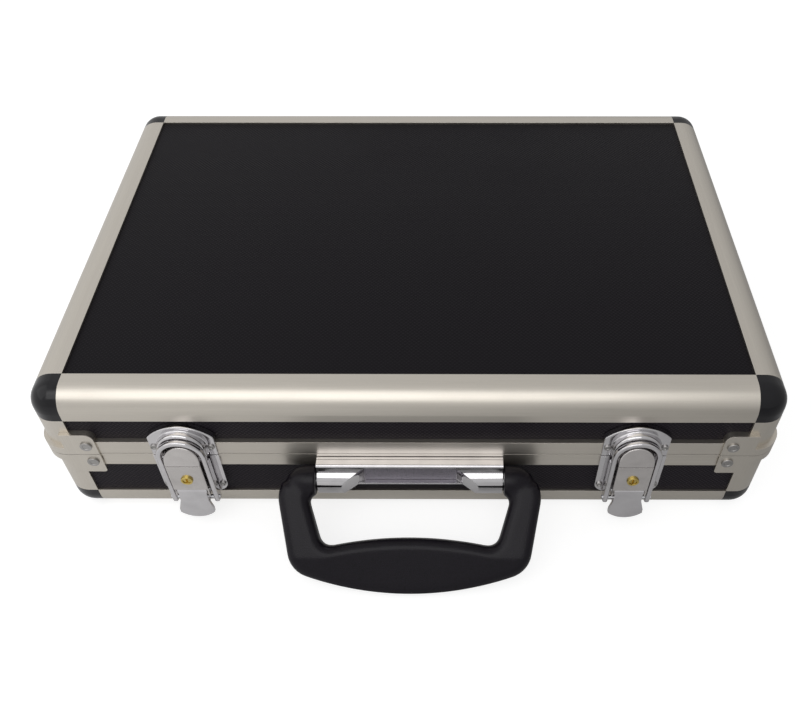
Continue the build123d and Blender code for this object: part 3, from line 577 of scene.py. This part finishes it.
# %% Helper for flowing forms
def flow_again(node, name, body, finish, skin_size, passes, flows, closing=0.0, shape=None):
    """Replace a CAD node by a copy whose forms flow into each other where flows(point) is true.

    The skin is made twice. A closing distance is how far the piece grows after the first skin and shrinks
    after the second, which fills its creases. A shape is a function that moves a point before the smoothing.
    """
    piece = copy_node(node, name)
    for growth in (closing, -closing):
        skin = piece.modifiers.new("even_skin", "REMESH")
        skin.mode = "VOXEL"
        skin.voxel_size = skin_size
        if closing:
            grown = piece.modifiers.new("grown", "DISPLACE")
            grown.mid_level = 0.0
            grown.strength = growth
        settle(piece)
    if shape:
        for vertex in piece.data.vertices:
            vertex.co = shape(vertex.co)
    soft = piece.vertex_groups.new(name="soft")
    soft.add([vertex.index for vertex in piece.data.vertices if flows(vertex.co)], 1.0, "REPLACE")
    smoothing = piece.modifiers.new("flow", "SMOOTH")
    smoothing.factor = 0.5
    smoothing.iterations = passes
    smoothing.vertex_group = "soft"
    settle(piece)
    bpy.ops.object.shade_smooth()
    piece.data.materials.clear()
    piece.data.materials.append(finish)
    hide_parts(node)
    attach(piece, body)
    print(name, len(piece.data.polygons), "faces")


def off_axis(pin, guard):
    """A test that is true outside a guard distance from a pin that lies along X."""
    low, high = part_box(pin)
    axis = (low + high) / 2
    return lambda point: math.hypot(point.y - axis.y, point.z - axis.z) > guard


# %% [markdown]
# The handle is one moulding, so its arms flow into the round bosses that turn on the pins.
# Its grip isn't flat: it is thickest along a crest beside the fingers, and slopes away to
# its outer edge. The slope at rest, the reach from the pins and the two reaches of the
# finger edge are the solid handle's own. The other sizes belong to this piece alone.

# %% Handle
handle_slope = math.radians(37.765)
grip_reach = 52.3 * mm
grip_half_width = 40.5 * mm
finger_edge_middle = 26.5 * mm
finger_edge_end = 31.1 * mm
crest_from_edge = 4.4 * mm
outer_thinning = 0.74
pins_low, pins_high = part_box("handle_pins")
pivot = (pins_low + pins_high) / 2
down_handle = Vector((0, -math.cos(handle_slope), -math.sin(handle_slope)))
off_handle = Vector((0, -math.sin(handle_slope), math.cos(handle_slope)))


def sloped_grip(point):
    """Lower the grip's upper side from its crest to its outer edge."""
    reach = (point - pivot).dot(down_handle)
    height = (point - pivot).dot(off_handle)
    across = min(abs(point.x) / grip_half_width, 1.0)
    crest = finger_edge_middle + (finger_edge_end - finger_edge_middle) * across**2 + crest_from_edge
    share = (reach - crest) / (grip_reach - crest)
    if share <= 0 or height <= 0:
        return point
    return point - off_handle * height * outer_thinning * min(share, 1.0)


flow_again(
    "handle", "moulded_handle", "handle", handle_plastic, skin_size=0.6 * mm, passes=22,
    flows=off_axis("handle_pins", guard=3.2 * mm), closing=1.4 * mm, shape=sloped_grip,
)

# %% [markdown]
# Each claw is bent from one bright strip, so its arched loop is round in section
# like a thick wire. The keeper that it holds is pressed from sheet: its flat
# plate stays flat, and the arched ridge that rises from it is fully rounded.

# %% Claws and keepers
keeper_sheet = 2.35 * mm
for hand in hands:
    flow_again(
        f"claw_{hand}", f"bent_claw_{hand}", f"claw_{hand}", chrome,
        skin_size=0.22 * mm, passes=16, flows=off_axis(f"claw_pin_{hand}", guard=1.5 * mm),
    )
    flow_again(
        f"keeper_{hand}", f"pressed_keeper_{hand}", "lid", chrome,
        skin_size=0.25 * mm, passes=30, flows=lambda point: point.y < front_face - keeper_sheet,
    )

# %% [markdown]
# A key cylinder's face is turned with a raised ring round the keyway, so that the key finds
# its slot. The ring is a flat disc that is inset, opened, given a thickness and rounded.

# %% Key rings
ring_width = 0.85 * mm
ring_height = 0.45 * mm
for hand in hands:
    low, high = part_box(f"key_cylinder_{hand}")
    ring_place = ((low.x + high.x) / 2, low.y, (low.z + high.z) / 2)
    bpy.ops.mesh.primitive_circle_add(
        vertices=48, radius=(high.x - low.x) / 2, fill_type="NGON", location=ring_place,
        rotation=(math.radians(90), 0, 0),
    )
    ring = bpy.context.active_object
    ring.name = f"key_ring_{hand}"
    only(ring)
    bpy.ops.object.transform_apply(location=True, rotation=True, scale=True)
    bpy.ops.object.mode_set(mode="EDIT")
    bpy.ops.mesh.select_mode(type="FACE")
    bpy.ops.mesh.select_all(action="SELECT")
    bpy.ops.mesh.inset(thickness=ring_width)
    bpy.ops.mesh.delete(type="FACE")
    bpy.ops.mesh.select_all(action="SELECT")
    bpy.ops.mesh.normals_make_consistent(inside=False)
    bpy.ops.object.mode_set(mode="OBJECT")
    raised = ring.modifiers.new("raised", "SOLIDIFY")
    raised.thickness = ring_height
    raised.offset = 1 if ring.data.polygons[0].normal.y < 0 else -1
    rounding = ring.modifiers.new("rounding", "BEVEL")
    rounding.width = 0.15 * mm
    rounding.segments = 3
    settle(ring)
    bpy.ops.object.shade_smooth_by_angle(angle=math.radians(40))
    ring.data.materials.append(turned_brass)
    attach(ring, f"key_{hand}")
    print(ring.name, [round(side / mm, 2) for side in ring.dimensions], "mm")

# %% [markdown]
# A lock cover is pressed from sheet, and its top leans back from a crease above
# the key. A thin bar laid along the crease cuts a narrow slit there, because a
# slit with real depth stays dark from every side. Faces that meet at the crease
# turn by only 14 degrees, so the smoothing stops at a smaller angle than that.

# %% Lock covers
crease_above_key = 10.2 * mm
crease_width = 0.3 * mm
crease_depth = 0.5 * mm
cover_smooth_angle = math.radians(12)
for hand in hands:
    low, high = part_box(f"lock_cover_{hand}")
    key_low, key_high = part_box(f"key_cylinder_{hand}")
    cover = copy_node(f"lock_cover_{hand}", f"pressed_cover_{hand}")
    crease_place = ((low.x + high.x) / 2, low.y, (key_low.z + key_high.z) / 2 + crease_above_key)
    bar_size = (2 * (high.x - low.x), 2 * crease_depth, crease_width)
    bpy.ops.mesh.primitive_cube_add(size=1, location=crease_place, scale=bar_size)
    bar = bpy.context.active_object
    crease = cover.modifiers.new("crease", "BOOLEAN")
    crease.operation = "DIFFERENCE"
    crease.object = bar
    settle(cover)
    bpy.data.objects.remove(bar)
    bpy.ops.object.shade_smooth_by_angle(angle=cover_smooth_angle)
    cover.data.materials.clear()
    cover.data.materials.append(satin_cover)
    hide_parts(f"lock_cover_{hand}")
    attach(cover, "base")
    print(cover.name, [round(side / mm, 2) for side in cover.dimensions], "mm")

# %% [markdown]
# The bracket's recess is backed by a small plate with a cast, grainy face.
# It stands just in front of the bright metal, with its edges rounded. The
# creases of its grain are darkened, as painted shade.


# %% Finish: grained casting
def make_grained_casting():
    """Cast metal with a fine pebbled face."""
    material, tree, shader, place = start_finish("grained_casting")
    grain = use_group(tree, moulded_grain, {"Vector": place, "Pebbles per metre": 1500.0})
    grain_top = 1.3
    low_roughness = 0.35
    high_roughness = 0.6
    shader.inputs["Metallic"].default_value = 0.8
    # Painted shade: the creases of the grain are a darker grey.
    tree.links.new(
        blend_colours(tree, grain["Crease shade"], screen_colour(150, 146, 154), screen_colour(92, 88, 98)),
        shader.inputs["Base Color"],
    )
    roughness = map_range(tree, grain["Height"], 0.0, grain_top, low_roughness, high_roughness)
    tree.links.new(roughness, shader.inputs["Roughness"])
    bump = add_node(
        tree, "ShaderNodeBump", {"Height": grain["Height"], "Strength": 0.6, "Distance": 0.12 * mm}
    )
    tree.links.new(bump.outputs["Normal"], shader.inputs["Normal"])
    return material


# %% Recess plate
plate_half_width = 21.9 * mm
plate_rim = 0.7 * mm
plate_dish = 0.12 * mm
facing_limit = 0.9
plate_front = front_face - 2.6 * mm
plate_rear = front_face - 2.15 * mm
plate_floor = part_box("handle_bracket")[0].z + 0.95 * mm
plate_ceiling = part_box("handle_bracket")[1].z - 1.6 * mm
plate_size = (2 * plate_half_width, plate_rear - plate_front, plate_ceiling - plate_floor)
plate_place = (0, (plate_front + plate_rear) / 2, (plate_ceiling + plate_floor) / 2)
bpy.ops.mesh.primitive_cube_add(size=1, location=plate_place, scale=plate_size)
recess_plate = bpy.context.active_object
recess_plate.name = "recess_plate"
only(recess_plate)
bpy.ops.object.transform_apply(location=True, rotation=True, scale=True)
bpy.ops.object.mode_set(mode="EDIT")
bpy.ops.mesh.select_mode(type="FACE")
pick_faces(recess_plate, lambda centre, normal: normal.y < -facing_limit)
bpy.ops.mesh.inset(thickness=plate_rim, depth=-plate_dish)
bpy.ops.object.mode_set(mode="OBJECT")
edge_round = recess_plate.modifiers.new("edge_round", "BEVEL")
edge_round.width = 0.08 * mm
edge_round.segments = 2
settle(recess_plate)
recess_plate.data.materials.append(make_grained_casting())
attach(recess_plate, "base")
print(recess_plate.name, [round(side / mm, 2) for side in recess_plate.dimensions], "mm")

# %% [markdown]
# Inside each half is a thin board liner, flocked in black. A solid model gives
# it as a sharp-edged tray, so it is modelled again here: a box without its
# open side, with rounded corners, a wall of its own and a soft folded rim.


# %% Finish: black flock
def make_black_flock():
    """Short black fibres, paler where they are rubbed."""
    material, tree, shader, place = start_finish("black_flock")
    fibres = add_node(tree, "ShaderNodeTexNoise", {"Vector": place, "Scale": 2600.0, "Detail": 4.0})
    rubbed = use_group(tree, smudges, {"Vector": place, "Patches per metre": 14.0, "Coverage": 0.55})["Mask"]
    fibre_tone = calculate(tree, "MULTIPLY", fibres.outputs["Fac"], 0.6)
    tone = calculate(tree, "MULTIPLY_ADD", rubbed, 0.4, fibre_tone)
    tree.links.new(
        blend_colours(tree, tone, screen_colour(22, 22, 25), screen_colour(52, 52, 57)),
        shader.inputs["Base Color"],
    )
    shader.inputs["Roughness"].default_value = 0.95
    shader.inputs["Sheen Weight"].default_value = 0.35
    bump = add_node(
        tree, "ShaderNodeBump", {"Height": fibres.outputs["Fac"], "Strength": 0.5, "Distance": 0.2 * mm}
    )
    tree.links.new(bump.outputs["Normal"], shader.inputs["Normal"])
    return material


black_flock = make_black_flock()


# %% Liners
liner_wall = 1.8 * mm
liner_corner = 9.0 * mm
for half, open_way in (("base", 1), ("lid", -1)):
    low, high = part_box(f"{half}_lining")
    bpy.ops.mesh.primitive_cube_add(size=1, location=(low + high) / 2, scale=high - low)
    liner = bpy.context.active_object
    liner.name = f"{half}_flocked_liner"
    only(liner)
    bpy.ops.object.transform_apply(location=True, rotation=True, scale=True)
    bpy.ops.object.mode_set(mode="EDIT")
    bpy.ops.mesh.select_mode(type="FACE")
    pick_faces(liner, lambda centre, normal: normal.z * open_way > facing_limit)
    bpy.ops.mesh.delete(type="FACE")
    bpy.ops.mesh.select_all(action="SELECT")
    bpy.ops.mesh.region_to_loop()
    bpy.ops.mesh.select_all(action="INVERT")
    bpy.ops.mesh.bevel(offset=liner_corner, segments=6, affect="EDGES")
    bpy.ops.object.mode_set(mode="OBJECT")
    wall = liner.modifiers.new("wall", "SOLIDIFY")
    wall.thickness = liner_wall
    wall.offset = -1
    rim = liner.modifiers.new("rim", "BEVEL")
    rim.width = 0.6 * mm
    rim.segments = 3
    rim.limit_method = "ANGLE"
    settle(liner)
    bpy.ops.object.shade_smooth_by_angle(angle=math.radians(35))
    liner.data.materials.append(black_flock)
    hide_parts(f"{half}_lining")
    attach(liner, half)
    print(liner.name, [round(side / mm, 1) for side in liner.dimensions], "mm")

# %% [markdown]
# The case lies on a plain grey floor in a soft, bright room whose left side is brighter, as by a
# window. The grey takes the case's shadow, and is painted lighter on the left, as painted window
# light. The camera sees the floor whitened, more so on the right. The floor also glows to every
# ray, more on the left, as painted light. That lights the faces of the case that lean down, which
# would be clearly darker without it, and metal mirrors the floor paler than its grey alone would be.

# %% Floor
floor_width = 12.0
floor_drop = 0.2 * mm
window_reach = 0.22
# The floor's grey is painted lighter near the window on the left, as painted window light.
near_floor = (0.50, 0.50, 0.50, 1.0)
far_floor = (0.25, 0.25, 0.25, 1.0)
# The glow is painted light that shines on the case, stronger near the window on the left.
near_glow = 0.30
far_glow = 0.14
near_whitening = 0.38
far_whitening = 0.70
bpy.ops.mesh.primitive_plane_add(size=floor_width, location=(0, 0, -floor_drop))
floor = bpy.context.active_object
floor.name = "floor"
floor_material = bpy.data.materials.new("white_floor")
floor_material.use_nodes = True
floor_tree = floor_material.node_tree
floor_shader = floor_tree.nodes["Principled BSDF"]
across_floor = add_node(
    floor_tree, "ShaderNodeSeparateXYZ", {0: add_node(floor_tree, "ShaderNodeTexCoord").outputs["Object"]}
).outputs["X"]
far_from_window = map_range(floor_tree, across_floor, -window_reach, window_reach, 0.0, 1.0)
floor_tree.links.new(
    blend_colours(floor_tree, far_from_window, near_floor, far_floor), floor_shader.inputs["Base Color"]
)
floor_shader.inputs["Roughness"].default_value = 0.9
floor_shader.inputs["Specular IOR Level"].default_value = 0.0
rays = add_node(floor_tree, "ShaderNodeLightPath").outputs
seen = calculate(floor_tree, "MAXIMUM", rays["Is Camera Ray"], rays["Is Transmission Ray"])
floor_shader.inputs["Emission Color"].default_value = (1.0, 1.0, 1.0, 1.0)
glow = map_range(floor_tree, far_from_window, 0.0, 1.0, near_glow, far_glow)
whitening = map_range(floor_tree, far_from_window, 0.0, 1.0, near_whitening, far_whitening)
floor_tree.links.new(
    calculate(floor_tree, "MULTIPLY_ADD", seen, whitening, glow), floor_shader.inputs["Emission Strength"]
)
floor.data.materials.append(floor_material)
print("the floor is", floor_width, "m wide")

# %% [markdown]
# The room is brighter above than at the sides, and brighter on the left, which gives
# the rounded edges their shape. The camera sees it as plain white, and metal mirrors
# it at its own level. Two large lamps, in front and on the left, add soft highlights.

# %% Room and lamps
side_light = 0.60
ceiling_light = 0.70
ceiling_from = 0.6
window_light = 0.20
world = bpy.data.worlds.new("soft_room")
bpy.context.scene.world = world
world.use_nodes = True
room = world.node_tree
way = add_node(room, "ShaderNodeSeparateXYZ", {0: add_node(room, "ShaderNodeTexCoord").outputs["Generated"]})
walls = map_range(room, way.outputs["Z"], 0.0, ceiling_from, side_light, ceiling_light)
left_window = map_range(room, way.outputs["X"], -1.0, 1.0, window_light, -window_light)
brightness = calculate(room, "ADD", walls, left_window)
camera_ray = add_node(room, "ShaderNodeLightPath").outputs["Is Camera Ray"]
strength = calculate(room, "MAXIMUM", brightness, camera_ray)
room.links.new(strength, room.nodes["Background"].inputs["Strength"])
room.nodes["Background"].inputs["Color"].default_value = (1.0, 1.0, 1.0, 1.0)


def hang_softbox(name, place, aim, width, height, power):
    """A large soft lamp that faces a point."""
    lamp_data = bpy.data.lights.new(name, "AREA")
    lamp_data.shape = "RECTANGLE"
    lamp_data.size = width
    lamp_data.size_y = height
    lamp_data.energy = power
    lamp = bpy.data.objects.new(name, lamp_data)
    lamp.location = place
    lamp.rotation_euler = (Vector(aim) - Vector(place)).to_track_quat("-Z", "Y").to_euler()
    bpy.context.scene.collection.objects.link(lamp)
    print(name, power, "W")


hang_softbox(
    "front_softbox", place=(-0.20, -0.82, 1.20), aim=case_middle, width=1.3, height=1.05, power=5.6
)
hang_softbox("left_softbox", place=(-1.2, -0.3, 1.0), aim=case_middle, width=1.2, height=1.2, power=2.0)

bpy.context.scene.view_settings.view_transform = "Standard"
